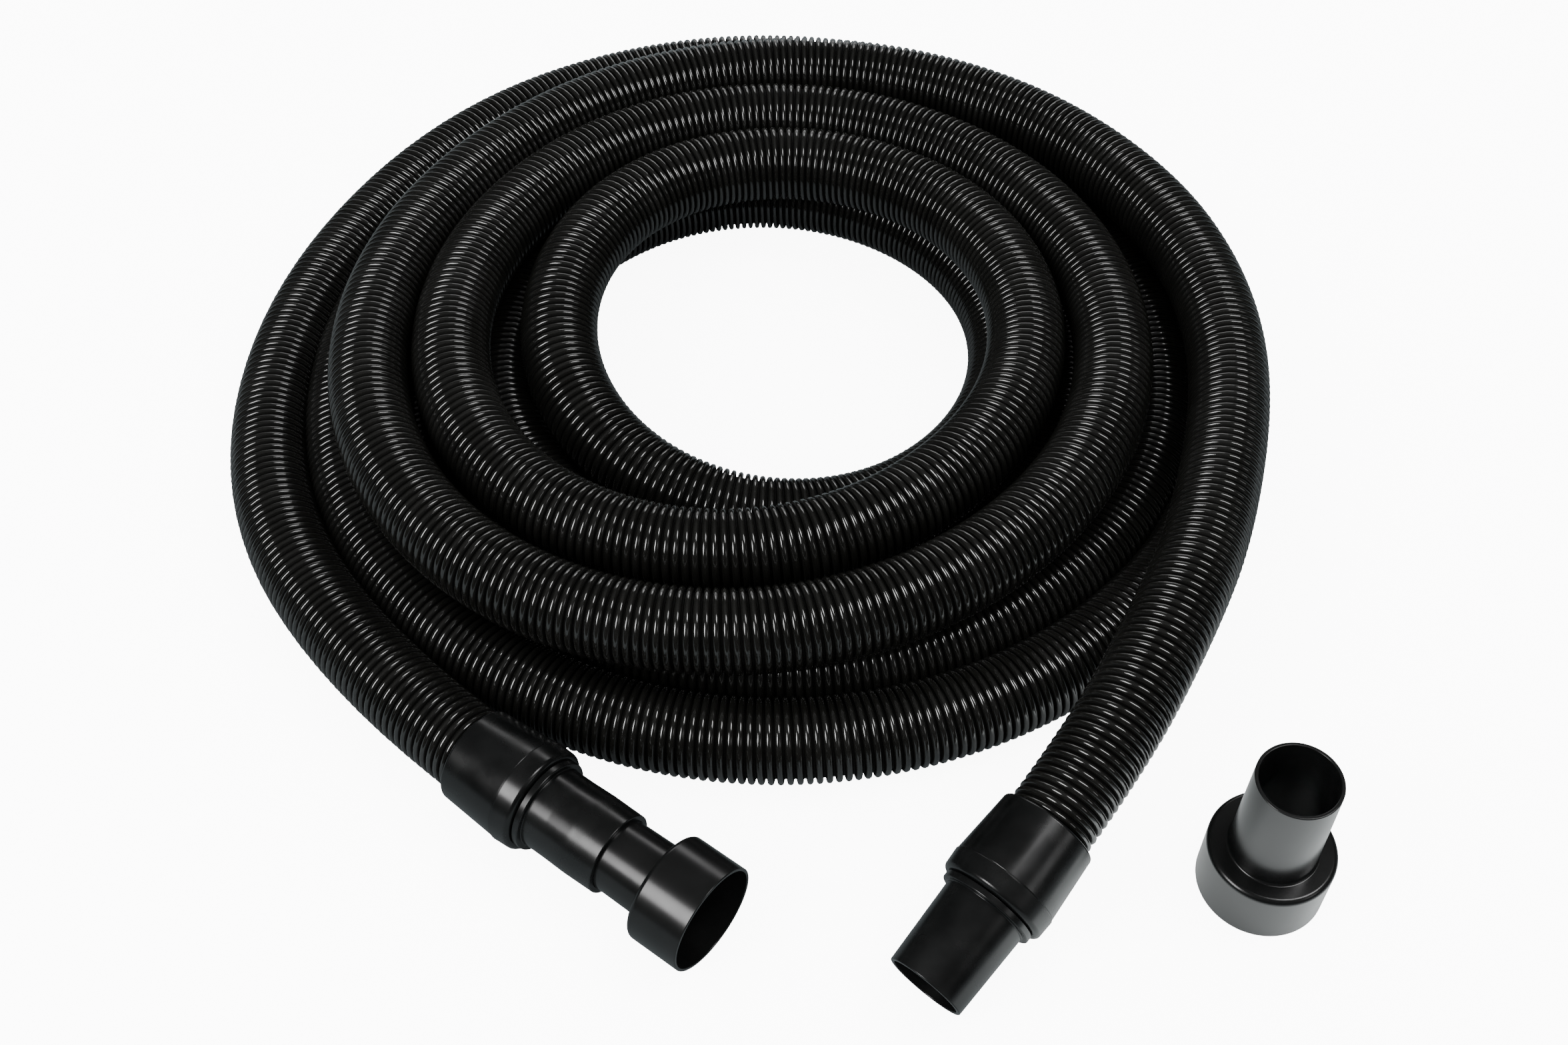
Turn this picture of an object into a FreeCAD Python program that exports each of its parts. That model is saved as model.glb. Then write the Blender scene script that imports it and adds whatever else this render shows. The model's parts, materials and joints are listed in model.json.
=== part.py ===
import FreeCAD, Part

import math
import os
from FreeCAD import Placement, Rotation, Vector

# Long corrugated vacuum hose with a swivel cuff and nozzle at each end, and two reducing adapters: one
# pushed into nozzle A, one standing loose beside the hose. Millimetres, +Z up. Everything lies on z = 0,
# and the origin is on that plane, under the middle of the box round the cuffs, nozzles and adapters.

# Hose
HOSE_OD = 45.5
HOSE_BORE = 38.0

# Fitted reducing adapter, measured from its large rim towards its small end. The loose one has the same
# shape, larger in proportion to its large end.
ADAPTER_LARGE_OD = 57.15
ADAPTER_LARGE_LENGTH = 30.4
ADAPTER_WALL = 1.75
ADAPTER_LENGTH = 84.7
ADAPTER_TUBE_OD_SHOULDER = 38.9
ADAPTER_TUBE_OD_END = 37.4
ADAPTER_TUBE_BORE = 34.0
ADAPTER_SHOULDER_ROUND = 2.6
ADAPTER_TUBE_FILLET = 1.2
LOOSE_LARGE_OD = 63.5

# Swivel cuff. Stations are distances along its axis from the plane where the nozzle's cone starts:
# positive towards the nozzle's tip, negative towards the hose.
NOZZLE_TIP_FREE = 46.3
NOZZLE_TIP_STRETCHED = 44.3
FLANGE_BACK = -3.5
SHELL_FRONT = -4.1
RACE_FRONT = -6.2
RACE_BACK = -12.2
RING_THICKNESS = 1.5
STEP = -15.2
NOZZLE_END = -16.0
SEAL_FRONT = -16.05
FERRULE_FRONT = -18.0
HOSE_END = -20.0
FERRULE_BACK = -36.0
SHELL_BACK = -51.0

SHELL_BACK_OD = 51.3
COLLAR_STEP_OD = 55.9
BAND_STEP_OD = 56.8
BAND_FRONT_OD = 55.6
SHELL_FRONT_BORE = 44.4
RACE_SEAT = 50.8
FERRULE_OD = 48.4
SHELL_HOSE_BORE = 46.1
AIR_BORE = 38.0

FLANGE_OD = 49.8
NOZZLE_BASE_OD = 43.8
NOZZLE_TIP_OD_FREE = 40.9
NOZZLE_WAIST_OD_STRETCHED = 43.8
NOZZLE_BULGE_OD_STRETCHED = 44.5
NOZZLE_TIP_OD_STRETCHED = 43.8
NOZZLE_TIP_BORE = 36.5
NOZZLE_BORE_STRAIGHT = 20.0
SPIGOT_OD = 42.0
RING_GROOVE_OD = 39.8
RING_OD = 46.4
RING_GAP = 4.0
RUNNING_GAP = 0.05

# Where the ends and adapters lie. A heading is the compass angle of the axis, outward, from +X towards +Y.
ADAPTER_A_RIM = (-83.0, -34.35)
HEADING_A = -36.96
INSERTED_LENGTH = 26.5
NOZZLE_B_TIP = Vector(16.9, -64.2, 19.8)
HEADING_B = -130.9
RISE_B = -14.5
LOOSE_ADAPTER = Vector(188.7, 3.0, 0.0)

# Coil: two layers of turns round one centre
COIL_CENTRE = Vector(-46.0, 339.3, 0.0)
LOWER_INNER_R = 108.0
LOWER_OUTER_R = 287.0
UPPER_INNER_R = 112.0
UPPER_OUTER_R = 273.0
UPPER_TOP = 88.0
COIL_EDGE_ROUND = 16.0
STRAIGHT_FROM_CUFF_A = 95.0
STRAIGHT_FROM_CUFF_B = 74.0

# Routes of the two uncoiled stretches, from the cuff's straight into the coil
ROUTE_A = [
    Vector(-350.3, 240.4, 24.5),
    Vector(-352.0, 397.7, 22.75),
    Vector(-271.3, 550.8, 22.75),
    Vector(-139.9, 628.4, 22.75),
    Vector(9.6, 630.5, 22.75),
    Vector(134.4, 557.4, 22.75),
    Vector(205.0, 447.9, 22.75),
    Vector(224.5, 322.3, 22.75),
]
ROUTE_B = [
    Vector(152.3, 118.0, 66.0),
    Vector(179.3, 180.0, 66.0),
    Vector(203.3, 269.0, 66.0),
    Vector(207.3, 339.0, 66.0),
    Vector(194.3, 406.0, 66.0),
]


def direction(heading, rise):
    """Unit vector at a compass heading and a rise above the floor, in degrees."""
    flat = math.cos(math.radians(rise))
    x = flat * math.cos(math.radians(heading))
    y = flat * math.sin(math.radians(heading))
    return Vector(x, y, math.sin(math.radians(rise)))


def half_turn(before, corner, after):
    """Half the angle by which a path turns at a corner, in radians."""
    return (corner - before).getAngle(after - corner) / 2


def rounded_path(points, radii, closed):
    """Straight runs joined by tangent arcs: one radius per point, 0 for a sharp corner."""
    count = len(points)
    edges = []
    start = None
    first = None
    for i, corner in enumerate(points):
        before = points[i - 1]
        after = points[(i + 1) % count]
        at_end = not closed and i in (0, count - 1)
        if at_end or radii[i] == 0:
            entry = leave = corner
        else:
            half = half_turn(before, corner, after)
            reach = radii[i] * math.tan(half)
            back = (before - corner).normalize()
            ahead = (after - corner).normalize()
            inward = (back + ahead).normalize()
            entry = corner + back * reach
            leave = corner + ahead * reach
            middle = corner + inward * (radii[i] / math.cos(half) - radii[i])
        if start is None:
            first = entry
        else:
            edges.append(Part.LineSegment(start, entry).toShape())
        if entry is not leave:
            edges.append(Part.Arc(entry, middle, leave).toShape())
        start = leave
    if closed:
        edges.append(Part.LineSegment(start, first).toShape())
    return Part.Wire(edges)


def turned(profile):
    """Solid of revolution about Z from corners (radius, station, corner rounding)."""
    points = [Vector(radius, 0, station) for radius, station, rounding in profile]
    radii = [rounding for radius, station, rounding in profile]
    face = Part.Face(rounded_path(points, radii, closed=True))
    return face.revolve(Vector(0, 0, 0), Vector(0, 0, 1), 360)


def placed(shape, point, axis):
    """Copy with the shape's Z axis laid along an axis through a point."""
    copy = shape.copy()
    copy.Placement = Placement(point, Rotation(Vector(0, 0, 1), axis))
    return copy


def between(station, start, start_value, end, end_value):
    """Value at a station on a straight taper."""
    return start_value + (end_value - start_value) * (station - start) / (end - start)


def adapter(size=1):
    """Reducing adapter, its large rim at z = 0 and its small end up, at a multiple of the fitted one's size."""
    large = ADAPTER_LARGE_OD / 2
    large_bore = large - ADAPTER_WALL
    shoulder = ADAPTER_LARGE_LENGTH
    bore = ADAPTER_TUBE_BORE / 2
    corners = [
        (large, 0, 0.5),
        (large, shoulder, ADAPTER_SHOULDER_ROUND),
        (ADAPTER_TUBE_OD_SHOULDER / 2, shoulder, ADAPTER_TUBE_FILLET),
        (ADAPTER_TUBE_OD_END / 2, ADAPTER_LENGTH, 0.5),
        (bore, ADAPTER_LENGTH, 0.4),
        (bore, shoulder - ADAPTER_WALL, 0.6),
        (large_bore, shoulder - ADAPTER_WALL, 1.2),
        (large_bore, 0, 0.4),
    ]
    return turned([(size * radius, size * station, size * rounding) for radius, station, rounding in corners])


def cuff_shell():
    """Conical collar over the hose and the wider band over the swivel, as one moulding."""
    return turned([
        (SHELL_BACK_OD / 2, SHELL_BACK, 1.5),
        (COLLAR_STEP_OD / 2, STEP, 0),
        (BAND_STEP_OD / 2, STEP, 0.2),
        (BAND_FRONT_OD / 2, SHELL_FRONT, 2.6),
        (SHELL_FRONT_BORE / 2, SHELL_FRONT, 0.3),
        (SHELL_FRONT_BORE / 2, RACE_FRONT, 0),
        (RACE_SEAT / 2, RACE_FRONT, 0),
        (RACE_SEAT / 2, FERRULE_FRONT, 0),
        (FERRULE_OD / 2, FERRULE_FRONT, 0),
        (FERRULE_OD / 2, FERRULE_BACK, 0),
        (SHELL_HOSE_BORE / 2, FERRULE_BACK, 0),
        (SHELL_HOSE_BORE / 2, SHELL_BACK, 0.4),
    ])


def ferrule():
    """Sleeve round the hose's end, with a lip that the end butts against."""
    return turned([
        (AIR_BORE / 2, FERRULE_FRONT, 0),
        (FERRULE_OD / 2, FERRULE_FRONT, 0),
        (FERRULE_OD / 2, FERRULE_BACK, 0),
        (HOSE_OD / 2, FERRULE_BACK, 0),
        (HOSE_OD / 2, HOSE_END, 0),
        (AIR_BORE / 2, HOSE_END, 0),
    ])


def swivel_race():
    """Bearing ring in the band, which the nozzle's spigot turns in."""
    return turned([
        (SPIGOT_OD / 2 + RUNNING_GAP, RACE_FRONT, 0.3),
        (RACE_SEAT / 2, RACE_FRONT, 0),
        (RACE_SEAT / 2, RACE_BACK, 0),
        (SPIGOT_OD / 2 + RUNNING_GAP, RACE_BACK, 0.3),
    ])


def seal_washer():
    """Flat washer between the nozzle's inner end and the ferrule."""
    return turned([
        (AIR_BORE / 2, SEAL_FRONT, 0),
        (RACE_SEAT / 2, SEAL_FRONT, 0),
        (RACE_SEAT / 2, FERRULE_FRONT, 0),
        (AIR_BORE / 2, FERRULE_FRONT, 0),
    ])


def retaining_ring():
    """Split ring in the spigot's groove, behind the race."""
    front = RACE_BACK - RUNNING_GAP
    inner = RING_GROOVE_OD / 2 + RUNNING_GAP
    ring = turned([
        (inner, front, 0),
        (RING_OD / 2, front, 0.2),
        (RING_OD / 2, front - RING_THICKNESS, 0.2),
        (inner, front - RING_THICKNESS, 0),
    ])
    gap = Part.makeBox(RING_OD, RING_GAP, 4 * RING_THICKNESS)
    gap.translate(Vector(0, -RING_GAP / 2, front - 2.5 * RING_THICKNESS))
    return ring.cut(gap)


def nozzle(outer, bore):
    """Nozzle from its tip to its inner end. outer and bore are corners between the tip and the base."""
    groove_back = RACE_BACK - RING_THICKNESS - 2 * RUNNING_GAP
    return turned([
        *outer,
        (NOZZLE_BASE_OD / 2, 0, 0.5),
        (FLANGE_OD / 2, 0, 0.7),
        (FLANGE_OD / 2, FLANGE_BACK, 0.3),
        (SPIGOT_OD / 2, FLANGE_BACK, 0),
        (SPIGOT_OD / 2, RACE_BACK, 0),
        (RING_GROOVE_OD / 2, RACE_BACK, 0),
        (RING_GROOVE_OD / 2, groove_back, 0),
        (SPIGOT_OD / 2, groove_back, 0),
        (SPIGOT_OD / 2, NOZZLE_END, 0.3),
        (AIR_BORE / 2, NOZZLE_END, 0),
        (AIR_BORE / 2, 0, 0),
        *bore,
    ])


def nozzle_free():
    """Nozzle B, at its moulded size, with a straight socket inside its tip."""
    outer = [(NOZZLE_TIP_OD_FREE / 2, NOZZLE_TIP_FREE, 0.6)]
    bore = [
        (NOZZLE_TIP_BORE / 2, NOZZLE_TIP_FREE - NOZZLE_BORE_STRAIGHT, 0),
        (NOZZLE_TIP_BORE / 2, NOZZLE_TIP_FREE, 0.5),
    ]
    return nozzle(outer, bore)


def nozzle_stretched():
    """Nozzle A, stretched round the adapter's tube, which it follows with a small gap."""
    tube_end = NOZZLE_TIP_STRETCHED - INSERTED_LENGTH
    tube_at_tip = between(INSERTED_LENGTH, 0, ADAPTER_TUBE_OD_END,
                          ADAPTER_LENGTH - ADAPTER_LARGE_LENGTH, ADAPTER_TUBE_OD_SHOULDER) / 2
    outer = [
        (NOZZLE_TIP_OD_STRETCHED / 2, NOZZLE_TIP_STRETCHED, 0.6),
        (NOZZLE_BULGE_OD_STRETCHED / 2, tube_end + 8, 60),
        (NOZZLE_WAIST_OD_STRETCHED / 2, tube_end - 6, 60),
    ]
    bore = [
        (ADAPTER_TUBE_OD_END / 2 + RUNNING_GAP, tube_end, 0),
        (tube_at_tip + RUNNING_GAP, NOZZLE_TIP_STRETCHED, 0.3),
    ]
    return nozzle(outer, bore)


def lead(name, cuff_end, axis, straight, route):
    """Hose from inside a cuff along a route: straight runs and arcs as large as the runs allow."""
    points = [cuff_end, cuff_end + axis * straight] + route
    radii = [0]
    for before, corner, after in zip(points, points[1:], points[2:]):
        shorter = min(before.distanceToPoint(corner), corner.distanceToPoint(after))
        radii.append(0.45 * shorter / math.tan(half_turn(before, corner, after)))
    radii.append(0)
    path = rounded_path(points, radii, closed=False)
    solids = []
    for size in (HOSE_OD, HOSE_BORE):
        ring = Part.Wire(Part.Circle(cuff_end, axis, size / 2).toShape())
        solids.append(path.makePipeShell([ring], True, False))
    tube = solids[0].cut(solids[1])
    section = math.pi / 4 * (HOSE_OD ** 2 - HOSE_BORE ** 2)
    print(name, "bend radii mm", [round(radius) for radius in radii[1:-1]])
    print(name, "length mm", round(path.Length), "volume / section x length",
          round(tube.Volume / (section * path.Length), 4))
    return tube


def coil():
    """Outer shape of the two layers of turns: one stepped ring with rounded edges."""
    ring = turned([
        (LOWER_INNER_R, 0, COIL_EDGE_ROUND),
        (LOWER_OUTER_R, 0, COIL_EDGE_ROUND),
        (LOWER_OUTER_R, HOSE_OD, COIL_EDGE_ROUND / 2),
        (UPPER_OUTER_R, HOSE_OD, 0),
        (UPPER_OUTER_R, UPPER_TOP, COIL_EDGE_ROUND),
        (UPPER_INNER_R, UPPER_TOP, COIL_EDGE_ROUND),
        (UPPER_INNER_R, HOSE_OD, 0),
        (LOWER_INNER_R, HOSE_OD, 2),
    ])
    ring.translate(COIL_CENTRE)
    return ring


def lay_of_end_a():
    """Outward axis and rim centre of the fitted adapter, resting on its shoulder and the cuff's band."""
    rest_front = ADAPTER_LARGE_LENGTH - ADAPTER_SHOULDER_ROUND
    rim_to_base = ADAPTER_LENGTH - INSERTED_LENGTH + NOZZLE_TIP_STRETCHED
    rest_back = rim_to_base - STEP
    rise = math.degrees(math.asin((ADAPTER_LARGE_OD - BAND_STEP_OD) / 2 / (rest_back - rest_front)))
    axis = direction(HEADING_A, rise)
    height = ADAPTER_LARGE_OD / 2 * math.cos(math.radians(rise)) + rest_front * axis.z
    rim = Vector(*ADAPTER_A_RIM, height)
    return axis, rim, rim - axis * rim_to_base


axis_a, rim_a, base_a = lay_of_end_a()
axis_b = direction(HEADING_B, RISE_B)
base_b = NOZZLE_B_TIP - axis_b * NOZZLE_TIP_FREE

parts = {
    "adapter_fitted": placed(adapter(), rim_a, -axis_a),
    "adapter_loose": placed(adapter(LOOSE_LARGE_OD / ADAPTER_LARGE_OD), LOOSE_ADAPTER, Vector(0, 0, 1)),
    "nozzle_a": placed(nozzle_stretched(), base_a, axis_a),
    "nozzle_b": placed(nozzle_free(), base_b, axis_b),
}
for end, base, axis in (("a", base_a, axis_a), ("b", base_b, axis_b)):
    parts["cuff_shell_" + end] = placed(cuff_shell(), base, axis)
    parts["ferrule_" + end] = placed(ferrule(), base, axis)
    parts["swivel_race_" + end] = placed(swivel_race(), base, axis)
    parts["seal_washer_" + end] = placed(seal_washer(), base, axis)
    parts["retaining_ring_" + end] = placed(retaining_ring(), base, axis)

fittings = FreeCAD.BoundBox()
for shape in parts.values():
    fittings.add(shape.optimalBoundingBox(False, False))

parts["hose_lead_a"] = lead("hose_lead_a", base_a + axis_a * HOSE_END, -axis_a,
                            STRAIGHT_FROM_CUFF_A, ROUTE_A)
parts["hose_lead_b"] = lead("hose_lead_b", base_b + axis_b * HOSE_END, -axis_b,
                            STRAIGHT_FROM_CUFF_B, ROUTE_B)
parts["hose_coil"] = coil()

for node, shape in parts.items():
    shape.exportStep("parts/" + node + ".step")
    print(node, "valid", shape.isValid(), "solids", len(shape.Solids), "cm3", round(shape.Volume / 1000, 2))

print("box of the fittings mm", fittings)
print("axis a", axis_a, "rim a", rim_a, "base a", base_a)
print("axis b", axis_b, "base b", base_b)
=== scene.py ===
import json
import math

import bpy
import numpy as np
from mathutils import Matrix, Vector


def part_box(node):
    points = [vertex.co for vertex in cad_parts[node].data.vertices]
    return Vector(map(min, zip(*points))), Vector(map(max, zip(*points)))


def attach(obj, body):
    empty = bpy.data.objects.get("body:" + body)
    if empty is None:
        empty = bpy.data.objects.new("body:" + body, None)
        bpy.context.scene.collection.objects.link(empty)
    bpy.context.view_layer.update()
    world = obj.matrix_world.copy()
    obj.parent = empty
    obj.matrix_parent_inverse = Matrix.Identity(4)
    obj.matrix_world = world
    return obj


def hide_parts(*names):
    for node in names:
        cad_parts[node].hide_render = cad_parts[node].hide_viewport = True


# Long corrugated vacuum hose in a two-layer coil, with a swivel cuff and nozzle at each end and two reducing
# adapters. Blender's unit is the metre. Sizes of the fittings and the routes are in millimetres.

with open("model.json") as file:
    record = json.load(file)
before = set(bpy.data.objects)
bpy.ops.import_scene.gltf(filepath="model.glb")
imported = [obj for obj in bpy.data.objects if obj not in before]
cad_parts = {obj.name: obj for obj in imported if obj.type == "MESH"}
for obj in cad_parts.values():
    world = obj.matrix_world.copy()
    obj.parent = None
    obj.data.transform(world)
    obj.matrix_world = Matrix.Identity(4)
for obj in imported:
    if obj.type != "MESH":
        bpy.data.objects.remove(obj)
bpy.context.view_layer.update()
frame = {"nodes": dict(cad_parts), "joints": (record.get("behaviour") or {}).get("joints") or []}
JOINTS = {joint["name"]: joint for joint in frame["joints"]}
MM = 0.001

# Hose, in metres
HOSE_OD = 45.5 * MM
RIDGE_PITCH = 4.7 * MM
RIDGE_DEPTH = 3.2 * MM
HOSE_SIDES = 32
# one ridge along the hose, a round crest and a narrow flat groove: (share of the pitch, share of the depth)
RIDGE_SHAPE = ((0.0, 0.0), (0.12, 0.03), (0.22, 0.115), (0.3, 0.27), (0.345, 0.52), (0.37, 0.88), (0.43, 1.0),
               (0.57, 1.0), (0.63, 0.88), (0.655, 0.52), (0.7, 0.27), (0.78, 0.115), (0.88, 0.03))
# the mesh attribute that holds each point's share of the depth, for the rougher plastic in the groove and for
# the painted shade there (its reflections dimmed)
GROOVE = "groove"

# Stations along each cuff's axis, from the plane where the nozzle's cone starts: positive towards the tip
NOZZLE_TIP_FREE = 46.3
NOZZLE_TIP_STRETCHED = 44.3
FLANGE_BACK = -3.5
SHELL_FRONT = -4.1
RACE_FRONT = -6.2
RACE_BACK = -12.2
RING_GROOVE_BACK = -13.8
STEP = -15.2
NOZZLE_END = -16.0
FERRULE_FRONT = -18.0
HOSE_END = -20.0
FERRULE_BACK = -36.0
SHELL_BACK = -51.0

# Cuff shell: the conical collar, the groove and edge of the band's step, and the seats inside
SHELL_BACK_OD = 51.3
COLLAR_STEP_OD = 55.9
STEP_GROOVE_OD = 55.3
BAND_STEP_OD = 56.8
BAND_FRONT_OD = 55.6
SHELL_FRONT_BORE = 44.4
RACE_SEAT = 50.8
FERRULE_OD = 48.4
SHELL_HOSE_BORE = 46.1

# Nozzles: free at end B, and stretched over the adapter at end A
FLANGE_OD = 49.8
SPIGOT_OD = 42.0
RING_GROOVE_OD = 39.8
AIR_BORE = 38.0
NOZZLE_BASE_OD = 43.8
NOZZLE_TIP_OD_FREE = 40.9
NOZZLE_TIP_BORE = 36.5
NOZZLE_BORE_STRAIGHT = 20.0
NOZZLE_TIP_OD_STRETCHED = 43.8
NOZZLE_BULGE_OD_STRETCHED = 44.5
NOZZLE_WAIST_OD_STRETCHED = 43.8
NOZZLE_TIP_BORE_STRETCHED = 38.2
NOZZLE_TUBE_END_BORE = 37.5
STRETCH_ROUNDING = 60

# Reducing adapters: the loose one is the 2-1/2 in size of the same shape, the fitted one the 2-1/4 in size
ADAPTER_LENGTH = 84.7
ADAPTER_LARGE_LENGTH = 30.4
ADAPTER_LARGE_OD = 57.15
ADAPTER_WALL = 1.75
ADAPTER_TUBE_OD_SHOULDER = 38.9
ADAPTER_TUBE_OD_END = 37.4
ADAPTER_TUBE_BORE = 34.0
LOOSE_LARGE_OD = 63.5
INSERTED_LENGTH = 26.5

# Coil, counted in turns from the right of its centre, and anticlockwise from above. It starts in the upper
# layer and drops inside it to the lower one.
COIL_CENTRE = (-46.0, 339.3)
UPPER_Z = 66.0
LOWER_Z = 22.75
DROP_START = 2.35
DROP_END = 2.88
POINTS_PER_TURN = 24
FIRST_COIL_POINT = 2
LAST_COIL_POINT = 142
# radius of the winding at the four diagonals of each turn: back right, back left, front left, front right
FIRST_DIAGONAL = 0.125
RADII_PER_TURN = 4
TURN_RADII = (
    (237, 230, 250, 203),
    (178, 187, 199, 149),
    (134, 138, 133, 124),
    (143, 168, 172, 170),
    (184, 211, 227, 223),
    (228, 255, 272, 266),
)
# radii before the first of these and after the last
START_RADII = (400, 282)
END_RADII = (272, 298)

# Routes of the two uncoiled stretches, from each cuff into the coil, after a straight out of the cuff
STRAIGHT_FROM_CUFF_A = 107.0
STRAIGHT_FROM_CUFF_B = 74.0
ROUTE_A = (
    (-352.2, 234.5, 23.2),
    (-352.3, 397.7, 22.75),
    (-271.8, 552.3, 22.75),
    (-140.6, 631.2, 22.75),
    (9.6, 632.8, 22.75),
    (134.4, 557.4, 22.75),
    (205.0, 447.9, 22.75),
    (224.5, 322.3, 22.75),
)
ROUTE_B = (
    (152.3, 118.0, 66.0),
    (180.3, 179.8, 66.0),
    (204.6, 269.0, 66.0),
    (208.5, 339.0, 66.0),
    (194.3, 406.0, 66.0),
)

# Plastic: the scales of its noise textures, the grey of its dust, and the hose's groove: its rougher finish,
# and its dimmed reflection, which paints shade into the groove
CLOUD_SCALE = 45
SPECK_SCALE = 170
RARE_SCALE = 60
SMEAR_SCALE = 70
DUST_GREY = 0.02
GROOVE_ROUGHNESS = 0.6
GROOVE_SHADE_SPECULAR = 0.1

# Softboxes, in metres and watts: place, width, height and power, and the point that all of them face
SOFTBOXES = {
    "softbox_high_right": ((1.0, 0.15, 1.95), 0.6, 0.9, 18),
    "softbox_front_right": ((1.75, -0.95, 1.25), 0.6, 0.6, 2),
    "softbox_front_left": ((-1.45, -0.85, 1.6), 0.8, 1.0, 36),
    "softbox_back": ((0.1, 2.2, 1.1), 1.2, 0.5, 5),
}
TARGET = (-0.04, 0.3, 0.03)

# The studio's brightness: the fill light, and what glossy surfaces see round them
FILL = 2.2
CEILING = 0.12
WALLS = 0.015
BACK_WALL = 1.1

# The floor, in metres: half its side, and its distance under the object. Then its own glow, and its colour as
# glossy surfaces show it: dim all over, and a painted reflection round the loose adapter, a bright patch that
# paints a sheen on the adapter's sides, from the patch's full strength to its edge
FLOOR_SIZE = 6.0
FLOOR_GAP = 0.3 * MM
FLOOR_GLOW = 9.0
FLOOR_REFLECTED = (0.12, 0.135, 0.14)
PAINTED_SHEEN_COLOUR = (0.78, 0.82, 0.82)
PAINTED_SHEEN_CENTRE = (0.185, -0.03, 0)
PAINTED_SHEEN_FULL = 0.05
PAINTED_SHEEN_EDGE = 0.16

# Camera: the origin is at (CAMERA_X, CAMERA_Y) on the floor as the camera sees it
CAMERA_X = 49.0 * MM
CAMERA_Y = 432.7 * MM
CAMERA_HEIGHT = 814.2 * MM
CAMERA_PITCH = 50.72
LENS = 41.57
SENSOR_WIDTH = 36


# ---------------------------------------------------------------- materials

def new_material(name):
    """Material with its Principled shader, ready for nodes."""
    material = bpy.data.materials.new(name)
    material.use_nodes = True
    nodes = material.node_tree.nodes
    shader = nodes["Principled BSDF"]
    return material, nodes, material.node_tree.links, shader


def noise(nodes, links, coordinates, scale, detail, stretch=(1, 1, 1)):
    """Noise texture over object coordinates, stretched along the axes."""
    mapping = nodes.new("ShaderNodeMapping")
    mapping.inputs["Scale"].default_value = stretch
    links.new(coordinates, mapping.inputs["Vector"])
    texture = nodes.new("ShaderNodeTexNoise")
    texture.inputs["Scale"].default_value = scale
    texture.inputs["Detail"].default_value = detail
    links.new(mapping.outputs["Vector"], texture.inputs["Vector"])
    return texture.outputs["Fac"]


def ramp(nodes, links, value, low, high, low_at=0.3, high_at=0.7):
    """Maps a value to a range between two numbers."""
    node = nodes.new("ShaderNodeMapRange")
    node.inputs["From Min"].default_value = low_at
    node.inputs["From Max"].default_value = high_at
    node.inputs["To Min"].default_value = low
    node.inputs["To Max"].default_value = high
    links.new(value, node.inputs["Value"])
    return node.outputs["Result"]


def tint(nodes, links, factor, dark, light):
    """Colour between two colours by a factor."""
    mix = nodes.new("ShaderNodeMix")
    mix.data_type = "RGBA"
    mix.inputs["A"].default_value = (*dark, 1)
    mix.inputs["B"].default_value = (*light, 1)
    links.new(factor, mix.inputs["Factor"])
    return mix.outputs["Result"]


def moulded_plastic(name, dark, light, roughness, specular=0.5):
    """Moulded plastic: faint cloudy colour with paler flow marks, uneven gloss and specks of dust."""
    material, nodes, links, shader = new_material(name)
    coordinates = nodes.new("ShaderNodeTexCoord").outputs["Object"]
    cloud = noise(nodes, links, coordinates, CLOUD_SCALE, 5, (1, 1, 0.4))
    colour = tint(nodes, links, ramp(nodes, links, cloud, 0, 1, 0.45, 0.75), dark, light)
    cells = nodes.new("ShaderNodeTexVoronoi")
    cells.inputs["Scale"].default_value = SPECK_SCALE
    links.new(coordinates, cells.inputs["Vector"])
    speck = ramp(nodes, links, cells.outputs["Distance"], 1, 0, 0.03, 0.05)
    rare = ramp(nodes, links, noise(nodes, links, coordinates, RARE_SCALE, 1), 0, 1, 0.6, 0.62)
    dusty = nodes.new("ShaderNodeMath")
    dusty.operation = "MULTIPLY"
    links.new(speck, dusty.inputs[0])
    links.new(rare, dusty.inputs[1])
    speckled = nodes.new("ShaderNodeMix")
    speckled.data_type = "RGBA"
    speckled.inputs["B"].default_value = (DUST_GREY, DUST_GREY, DUST_GREY, 1)
    links.new(colour, speckled.inputs["A"])
    links.new(dusty.outputs["Value"], speckled.inputs["Factor"])
    links.new(speckled.outputs["Result"], shader.inputs["Base Color"])
    smear = noise(nodes, links, coordinates, SMEAR_SCALE, 4)
    links.new(ramp(nodes, links, smear, *roughness), shader.inputs["Roughness"])
    shader.inputs["Specular IOR Level"].default_value = specular
    return material


def hose_plastic_with_groove_shade(name, dark, light, roughness, specular):
    """Glossy hose plastic, rougher in the groove, with painted shade there: the groove's reflections are
    dimmed.
    """
    material = moulded_plastic(name, dark, light, roughness, specular)
    nodes = material.node_tree.nodes
    links = material.node_tree.links
    shader = nodes["Principled BSDF"]
    groove = nodes.new("ShaderNodeAttribute")
    groove.attribute_name = GROOVE
    depth = ramp(nodes, links, groove.outputs["Fac"], 0, 1, 0.15, 0.6)
    gloss = nodes.new("ShaderNodeMix")
    links.new(shader.inputs["Roughness"].links[0].from_socket, gloss.inputs["A"])
    gloss.inputs["B"].default_value = GROOVE_ROUGHNESS
    links.new(depth, gloss.inputs["Factor"])
    links.new(gloss.outputs["Result"], shader.inputs["Roughness"])
    # painted shade: the groove's reflections are dimmed with its depth, on top of its rougher plastic
    links.new(ramp(nodes, links, depth, specular, GROOVE_SHADE_SPECULAR, 0, 1), shader.inputs["Specular IOR Level"])
    return material


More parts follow.
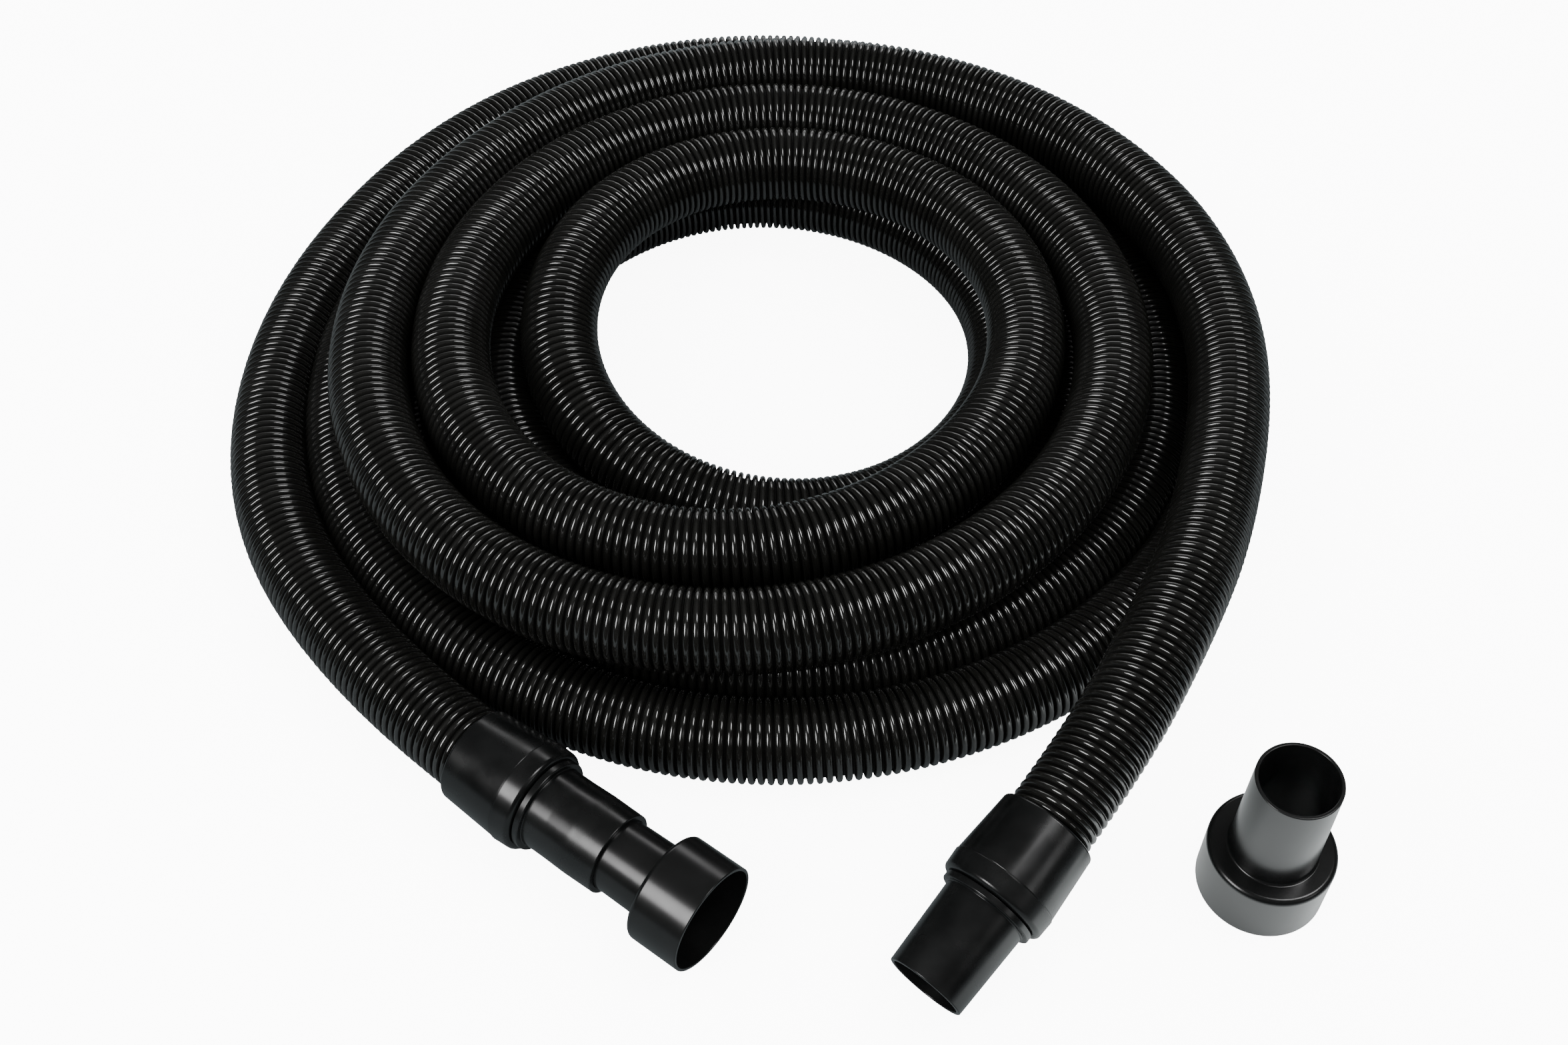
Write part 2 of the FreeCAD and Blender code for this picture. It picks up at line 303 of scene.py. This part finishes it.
HOSE_BLACK = hose_plastic_with_groove_shade("hose_black", (0.0031, 0.0031, 0.0027), (0.0052, 0.0052, 0.0047),
                          (0.09, 0.13), specular=1.0)
CUFF_BLACK = moulded_plastic("cuff_black", (0.0014, 0.0016, 0.0016), (0.004, 0.0043, 0.0043), (0.2, 0.3))
ADAPTER_BLACK = moulded_plastic("adapter_black", (0.0022, 0.0024, 0.0024), (0.0038, 0.004, 0.004),
                                (0.22, 0.26))
INNER_GREY = moulded_plastic("inner_grey", (0.010, 0.010, 0.010), (0.016, 0.016, 0.016), (0.45, 0.6))
SEAL_BLACK = moulded_plastic("seal_black", (0.006, 0.006, 0.006), (0.010, 0.010, 0.010), (0.6, 0.8))


# ---------------------------------------------------------------- mesh helpers

def mesh_object(name, vertices, faces, material, smooth=True):
    """Object from vertices and faces, shaded smooth."""
    mesh = bpy.data.meshes.new(name)
    mesh.from_pydata(vertices, [], faces)
    mesh.polygons.foreach_set("use_smooth", [smooth] * len(mesh.polygons))
    mesh.materials.append(material)
    mesh.update()
    piece = bpy.data.objects.new(name, mesh)
    bpy.context.scene.collection.objects.link(piece)
    return piece


def rounded_outline(corners, steps=6):
    """Closed outline from corners (radius, station, rounding): each rounding becomes an arc."""
    outline = []
    count = len(corners)
    for i, (x, y, rounding) in enumerate(corners):
        corner = Vector((x, y))
        if rounding == 0:
            outline.append(corner)
            continue
        back = (Vector(corners[i - 1][:2]) - corner).normalized()
        ahead = (Vector(corners[(i + 1) % count][:2]) - corner).normalized()
        half = (math.pi - back.angle(ahead)) / 2
        inward = (back + ahead).normalized()
        centre = corner + inward * (rounding / math.cos(half))
        start = corner + back * (rounding * math.tan(half)) - centre
        end = corner + ahead * (rounding * math.tan(half)) - centre
        for k in range(steps + 1):
            share = k / steps
            arm = start.lerp(end, share).normalized() * rounding
            outline.append(centre + arm)
    return outline


def lathe(name, corners, origin, axis, material, sides=128):
    """Turned piece: corners (radius, station, rounding) in millimetres about an axis through a point."""
    outline = rounded_outline(corners)
    rotation = Vector((0, 0, 1)).rotation_difference(Vector(axis))
    vertices = []
    for point in outline:
        for k in range(sides):
            angle = 2 * math.pi * k / sides
            local = Vector((point.x * math.cos(angle), point.x * math.sin(angle), point.y)) * MM
            vertices.append(Vector(origin) + rotation @ local)
    rings = len(outline)
    faces = []
    for i in range(rings):
        a = i * sides
        b = (i + 1) % rings * sides
        for k in range(sides):
            n = (k + 1) % sides
            faces.append((a + k, a + n, b + n, b + k))
    piece = mesh_object(name, vertices, faces, material)
    weighted = piece.modifiers.new("weighted", "WEIGHTED_NORMAL")
    weighted.keep_sharp = True
    weighted.weight = 100
    return piece


# ---------------------------------------------------------------- hose

def winding_radius(turn):
    """Radius of the coil's centreline, in millimetres, after a number of turns: smooth through TURN_RADII."""
    knots = [*START_RADII, *(radius for row in TURN_RADII for radius in row), *END_RADII]
    place = (turn - FIRST_DIAGONAL) * RADII_PER_TURN + len(START_RADII)
    i = int(math.floor(place))
    u = place - i
    a, b, c, d = knots[i - 1:i + 3]
    return b + 0.5 * u * (c - a + u * (2 * a - 5 * b + 4 * c - d + u * (3 * (b - c) + d - a)))


def winding_height(turn):
    """Height of the coil's centreline, in millimetres: the upper layer, then down inside to the lower one."""
    share = min(max((turn - DROP_START) / (DROP_END - DROP_START), 0), 1)
    return UPPER_Z + (LOWER_Z - UPPER_Z) * share * share * (3 - 2 * share)


def coil_points():
    """Control points of the turns. A spline runs inside its points, so they stand a little further out."""
    outward = 8 / (6 + 2 * math.cos(2 * math.pi / POINTS_PER_TURN))
    points = []
    for k in range(FIRST_COIL_POINT, LAST_COIL_POINT + 1):
        turn = k / POINTS_PER_TURN
        radius = winding_radius(turn) * outward
        angle = 2 * math.pi * turn
        x = COIL_CENTRE[0] + radius * math.cos(angle)
        y = COIL_CENTRE[1] + radius * math.sin(angle)
        points.append(Vector((x, y, winding_height(turn))) * MM)
    return points


def cuff_line(joint):
    """Base point and outward axis of a cuff, from its swivel joint."""
    return Vector(JOINTS[joint]["pos_m"]), Vector(JOINTS[joint]["axis"]).normalized()


def hose_control_points():
    """Whole hose, from inside cuff B, through the coil, to inside cuff A."""
    base_a, axis_a = cuff_line("swivel_a")
    base_b, axis_b = cuff_line("swivel_b")
    end_a = base_a + axis_a * HOSE_END * MM
    end_b = base_b + axis_b * HOSE_END * MM
    points = [end_b, end_b - axis_b * STRAIGHT_FROM_CUFF_B * MM]
    points += [Vector(point) * MM for point in ROUTE_B]
    points += coil_points()
    points += [Vector(point) * MM for point in reversed(ROUTE_A)]
    points += [end_a - axis_a * STRAIGHT_FROM_CUFF_A * MM, end_a]
    return points


def spline_line(points, resolution=10):
    """Points along the NURBS spline through the route's control points."""
    curve = bpy.data.curves.new("hose_route", "CURVE")
    curve.dimensions = "3D"
    curve.resolution_u = resolution
    spline = curve.splines.new("NURBS")
    spline.points.add(len(points) - 1)
    for slot, point in zip(spline.points, points):
        slot.co = (*point, 1)
    spline.order_u = 3
    spline.use_endpoint_u = True
    carrier = bpy.data.objects.new("hose_route", curve)
    bpy.context.scene.collection.objects.link(carrier)
    bpy.context.view_layer.update()
    mesh = bpy.data.meshes.new_from_object(carrier)
    line = np.array([vertex.co for vertex in mesh.vertices])
    bpy.data.objects.remove(carrier)
    bpy.data.meshes.remove(mesh)
    bpy.data.curves.remove(curve)
    return line


def corrugated_tube(name, line, material):
    """Tube along a line with one helical ridge: each vertex is moved along by its share of the pitch."""
    steps = np.linalg.norm(np.diff(line, axis=0), axis=1)
    reached = np.concatenate([[0], np.cumsum(steps)])
    tangents = np.gradient(line, reached, axis=0)
    tangents /= np.linalg.norm(tangents, axis=1)[:, None]
    length = reached[-1]
    per_ridge = len(RIDGE_SHAPE)
    ridges = int((length - RIDGE_PITCH) // RIDGE_PITCH)
    phases = np.array([share for share, depth in RIDGE_SHAPE])
    shares = np.array([depth for share, depth in RIDGE_SHAPE])
    starts = (np.arange(ridges)[:, None] + phases[None, :]).ravel() * RIDGE_PITCH
    radii = HOSE_OD / 2 - np.tile(shares * RIDGE_DEPTH, ridges)
    turn = np.arange(HOSE_SIDES) / HOSE_SIDES
    along = starts[:, None] + turn[None, :] * RIDGE_PITCH
    centre = np.stack([np.interp(along, reached, line[:, k]) for k in range(3)], -1)
    tangent = np.stack([np.interp(along, reached, tangents[:, k]) for k in range(3)], -1)
    tangent /= np.linalg.norm(tangent, axis=-1, keepdims=True)
    up = np.array([0.0, 0.0, 1.0]) - tangent[..., 2:3] * tangent
    up /= np.linalg.norm(up, axis=-1, keepdims=True)
    side = np.cross(tangent, up)
    angle = 2 * math.pi * turn[None, :, None]
    vertices = centre + radii[:, None, None] * (np.cos(angle) * up + np.sin(angle) * side)
    rings = len(starts)
    index = np.arange(rings * HOSE_SIDES).reshape(rings, HOSE_SIDES)
    # the last column meets the first one ridge further on
    ahead = np.concatenate([index[:-per_ridge, 1:], index[per_ridge:, :1]], axis=1)
    here = index[:-per_ridge]
    quads = np.stack([here[:-1], here[1:], ahead[1:], ahead[:-1]], -1).reshape(-1, 4)
    faces = [tuple(quad) for quad in quads.tolist()]
    first_end = index[0].tolist() + index[per_ridge:0:-1, 0].tolist()
    last = rings - per_ridge - 1
    last_end = index[last].tolist() + index[last + per_ridge:last:-1, 0].tolist()
    faces.append(tuple(first_end))
    faces.append(tuple(reversed(last_end)))
    tube = mesh_object(name, vertices.reshape(-1, 3).tolist(), faces, material)
    groove = tube.data.attributes.new(GROOVE, "FLOAT", "POINT")
    groove.data.foreach_set("value", np.repeat(np.tile(shares, ridges), HOSE_SIDES))
    return tube, length


def make_hose():
    """The hose: one corrugated tube that stands in for its three CAD solids, which are hidden."""
    line = spline_line(hose_control_points())
    hose, length = corrugated_tube("corrugated_hose", line, HOSE_BLACK)
    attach(hose, "hose")
    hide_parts("hose_coil", "hose_lead_a", "hose_lead_b")


# ---------------------------------------------------------------- cuffs, nozzles and adapters

def adapter_corners(size):
    """Section of the reducing adapter from its large rim, at a multiple of the fitted one's size."""
    outer = ADAPTER_LARGE_OD / 2
    inner = outer - ADAPTER_WALL
    socket_floor = ADAPTER_LARGE_LENGTH - ADAPTER_WALL
    corners = (
        (outer, 0, 0.5),
        (outer, ADAPTER_LARGE_LENGTH, 2.6),
        (ADAPTER_TUBE_OD_SHOULDER / 2, ADAPTER_LARGE_LENGTH, 1.2),
        (ADAPTER_TUBE_OD_END / 2, ADAPTER_LENGTH, 0.5),
        (ADAPTER_TUBE_BORE / 2, ADAPTER_LENGTH, 0.4),
        (ADAPTER_TUBE_BORE / 2, socket_floor, 0.6),
        (inner, socket_floor, 1.2),
        (inner, 0, 0.4),
    )
    return [(size * radius, size * station, size * rounding) for radius, station, rounding in corners]


def shell_corners():
    """Section of the cuff shell: conical collar, step and band, then the seats inside."""
    return (
        (SHELL_BACK_OD / 2, SHELL_BACK, 1.5),
        (COLLAR_STEP_OD / 2, STEP - 0.6, 0.5),
        (STEP_GROOVE_OD / 2, STEP - 0.15, 0),
        (BAND_STEP_OD / 2, STEP, 0.3),
        (BAND_FRONT_OD / 2, SHELL_FRONT, 2.6),
        (SHELL_FRONT_BORE / 2, SHELL_FRONT, 0.3),
        (SHELL_FRONT_BORE / 2, RACE_FRONT, 0),
        (RACE_SEAT / 2, RACE_FRONT, 0),
        (RACE_SEAT / 2, FERRULE_FRONT, 0),
        (FERRULE_OD / 2, FERRULE_FRONT, 0),
        (FERRULE_OD / 2, FERRULE_BACK, 0),
        (SHELL_HOSE_BORE / 2, FERRULE_BACK, 0),
        (SHELL_HOSE_BORE / 2, SHELL_BACK, 0.4),
    )


def nozzle_corners(outer, bore):
    """Section of a nozzle: its cone's corners, flange, spigot inside the shell, and its bore's corners."""
    return (
        *outer,
        (NOZZLE_BASE_OD / 2, 0, 0.5),
        (FLANGE_OD / 2, 0, 0.7),
        (FLANGE_OD / 2, FLANGE_BACK, 0.3),
        (SPIGOT_OD / 2, FLANGE_BACK, 0),
        (SPIGOT_OD / 2, RACE_BACK, 0),
        (RING_GROOVE_OD / 2, RACE_BACK, 0),
        (RING_GROOVE_OD / 2, RING_GROOVE_BACK, 0),
        (SPIGOT_OD / 2, RING_GROOVE_BACK, 0),
        (SPIGOT_OD / 2, NOZZLE_END, 0.3),
        (AIR_BORE / 2, NOZZLE_END, 0),
        (AIR_BORE / 2, 0, 0),
        *bore,
    )


def make_cuff(end):
    """Shell of one cuff."""
    base, axis = cuff_line("swivel_" + end)
    shell = lathe("collar_" + end, shell_corners(), base, axis, CUFF_BLACK)
    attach(shell, "hose")
    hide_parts("cuff_shell_" + end)


def make_nozzle(end, outer, bore):
    """Nozzle of one cuff."""
    base, axis = cuff_line("swivel_" + end)
    piece = lathe("nozzle_cone_" + end, nozzle_corners(outer, bore), base, axis, CUFF_BLACK)
    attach(piece, "nozzle_" + end)
    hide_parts("nozzle_" + end)


def make_adapter(name, node, origin, axis, size):
    """Reducing adapter with its large rim at a point and its small end along an axis."""
    piece = lathe(name, adapter_corners(size), origin, axis, ADAPTER_BLACK)
    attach(piece, node)
    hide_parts(node)


def make_fittings():
    """Cuffs, nozzles and both adapters, and materials for the rings inside the cuffs."""
    make_cuff("a")
    make_cuff("b")
    tube_end = NOZZLE_TIP_STRETCHED - INSERTED_LENGTH
    make_nozzle("a",
                outer=((NOZZLE_TIP_OD_STRETCHED / 2, NOZZLE_TIP_STRETCHED, 0.6),
                       (NOZZLE_BULGE_OD_STRETCHED / 2, tube_end + 8, STRETCH_ROUNDING),
                       (NOZZLE_WAIST_OD_STRETCHED / 2, tube_end - 6, STRETCH_ROUNDING)),
                bore=((NOZZLE_TUBE_END_BORE / 2, tube_end, 0),
                      (NOZZLE_TIP_BORE_STRETCHED / 2, NOZZLE_TIP_STRETCHED, 0.3)))
    make_nozzle("b",
                outer=((NOZZLE_TIP_OD_FREE / 2, NOZZLE_TIP_FREE, 0.6),),
                bore=((NOZZLE_TIP_BORE / 2, NOZZLE_TIP_FREE - NOZZLE_BORE_STRAIGHT, 0),
                      (NOZZLE_TIP_BORE / 2, NOZZLE_TIP_FREE, 0.5)))
    base_a, axis_a = cuff_line("swivel_a")
    rim = base_a + axis_a * (tube_end + ADAPTER_LENGTH) * MM
    make_adapter("reducer_fitted", "adapter_fitted", rim, -axis_a, 1)
    low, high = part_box("adapter_loose")
    middle = (low + high) / 2
    make_adapter("reducer_loose", "adapter_loose", (middle.x, middle.y, low.z), (0, 0, 1),
                 LOOSE_LARGE_OD / ADAPTER_LARGE_OD)
    for end in "ab":
        for node, material in (("ferrule_", INNER_GREY), ("swivel_race_", INNER_GREY),
                               ("retaining_ring_", INNER_GREY), ("seal_washer_", SEAL_BLACK)):
            piece = frame["nodes"][node + end]
            piece.data.materials.clear()
            piece.data.materials.append(material)


# ---------------------------------------------------------------- stage, lights and camera

def make_stage():
    """Plain pale floor. Glossy surfaces reflect it faintly, and a bright patch round the loose adapter paints
    a reflected sheen on the adapter's sides.
    """
    floor_material, nodes, links, shader = new_material("floor_white")
    coordinates = nodes.new("ShaderNodeTexCoord").outputs["Object"]
    mottle = noise(nodes, links, coordinates, 4, 2)
    white = tint(nodes, links, mottle, (0.90, 0.90, 0.90), (0.92, 0.92, 0.92))
    # painted reflection: a brighter floor colour, seen only in reflections, round the loose adapter paints a
    # sheen on its sides
    distance = nodes.new("ShaderNodeVectorMath")
    distance.operation = "DISTANCE"
    distance.inputs[1].default_value = PAINTED_SHEEN_CENTRE
    links.new(coordinates, distance.inputs[0])
    near_painted_sheen = ramp(nodes, links, distance.outputs["Value"], 1, 0, PAINTED_SHEEN_FULL, PAINTED_SHEEN_EDGE)
    seen = tint(nodes, links, near_painted_sheen, FLOOR_REFLECTED, PAINTED_SHEEN_COLOUR)
    path = nodes.new("ShaderNodeLightPath")
    colour = nodes.new("ShaderNodeMix")
    colour.data_type = "RGBA"
    links.new(path.outputs["Is Glossy Ray"], colour.inputs["Factor"])
    links.new(white, colour.inputs["A"])
    links.new(seen, colour.inputs["B"])
    links.new(colour.outputs["Result"], shader.inputs["Base Color"])
    links.new(ramp(nodes, links, path.outputs["Is Camera Ray"], 0, FLOOR_GLOW, 0, 1),
              shader.inputs["Emission Strength"])
    shader.inputs["Emission Color"].default_value = (1, 1, 1, 1)
    shader.inputs["Roughness"].default_value = 0.9
    shader.inputs["Specular IOR Level"].default_value = 0.0
    corners = [(-FLOOR_SIZE, -FLOOR_SIZE, 0), (FLOOR_SIZE, -FLOOR_SIZE, 0),
               (FLOOR_SIZE, FLOOR_SIZE, 0), (-FLOOR_SIZE, FLOOR_SIZE, 0)]
    floor = mesh_object("floor", corners, [(0, 1, 2, 3)], floor_material, smooth=False)
    floor.location = (0, 0, -FLOOR_GAP)


def make_light(name, place, width, height, power):
    """Rectangular softbox at a place, aimed at the target."""
    light = bpy.data.lights.new(name, "AREA")
    light.shape = "RECTANGLE"
    light.size = width
    light.size_y = height
    light.energy = power
    lamp = bpy.data.objects.new(name, light)
    lamp.location = place
    lamp.rotation_euler = (Vector(TARGET) - Vector(place)).to_track_quat("-Z", "Y").to_euler()
    bpy.context.scene.collection.objects.link(lamp)


def make_world():
    """Even white fill. Glossy surfaces see a dim ceiling, dark walls and a bright back wall instead."""
    world = bpy.data.worlds.new("studio")
    world.use_nodes = True
    nodes = world.node_tree.nodes
    links = world.node_tree.links
    background = nodes["Background"]
    background.inputs["Color"].default_value = (1, 1, 1, 1)
    split = nodes.new("ShaderNodeSeparateXYZ")
    links.new(nodes.new("ShaderNodeTexCoord").outputs["Generated"], split.inputs["Vector"])
    seen = nodes.new("ShaderNodeMath")
    seen.operation = "MAXIMUM"
    links.new(ramp(nodes, links, split.outputs["Z"], WALLS, CEILING, 0.45, 0.95), seen.inputs[0])
    links.new(ramp(nodes, links, split.outputs["Y"], 0, BACK_WALL, 0.85, 0.97), seen.inputs[1])
    choice = nodes.new("ShaderNodeMix")
    choice.inputs["A"].default_value = FILL
    links.new(seen.outputs["Value"], choice.inputs["B"])
    links.new(nodes.new("ShaderNodeLightPath").outputs["Is Glossy Ray"], choice.inputs["Factor"])
    links.new(choice.outputs["Result"], background.inputs["Strength"])
    bpy.context.scene.world = world


def make_camera():
    """Camera at the photograph's viewing angle."""
    camera = bpy.data.cameras.new("camera")
    camera.lens = LENS
    camera.sensor_width = SENSOR_WIDTH
    camera.clip_start = 0.01
    eye = bpy.data.objects.new("camera", camera)
    eye.location = (-CAMERA_X, -CAMERA_Y, CAMERA_HEIGHT)
    eye.rotation_euler = (math.radians(90 - CAMERA_PITCH), 0, 0)
    bpy.context.scene.collection.objects.link(eye)
    bpy.context.scene.camera = eye


make_hose()
make_fittings()
make_stage()
make_world()
for softbox, settings in SOFTBOXES.items():
    make_light(softbox, *settings)
make_camera()
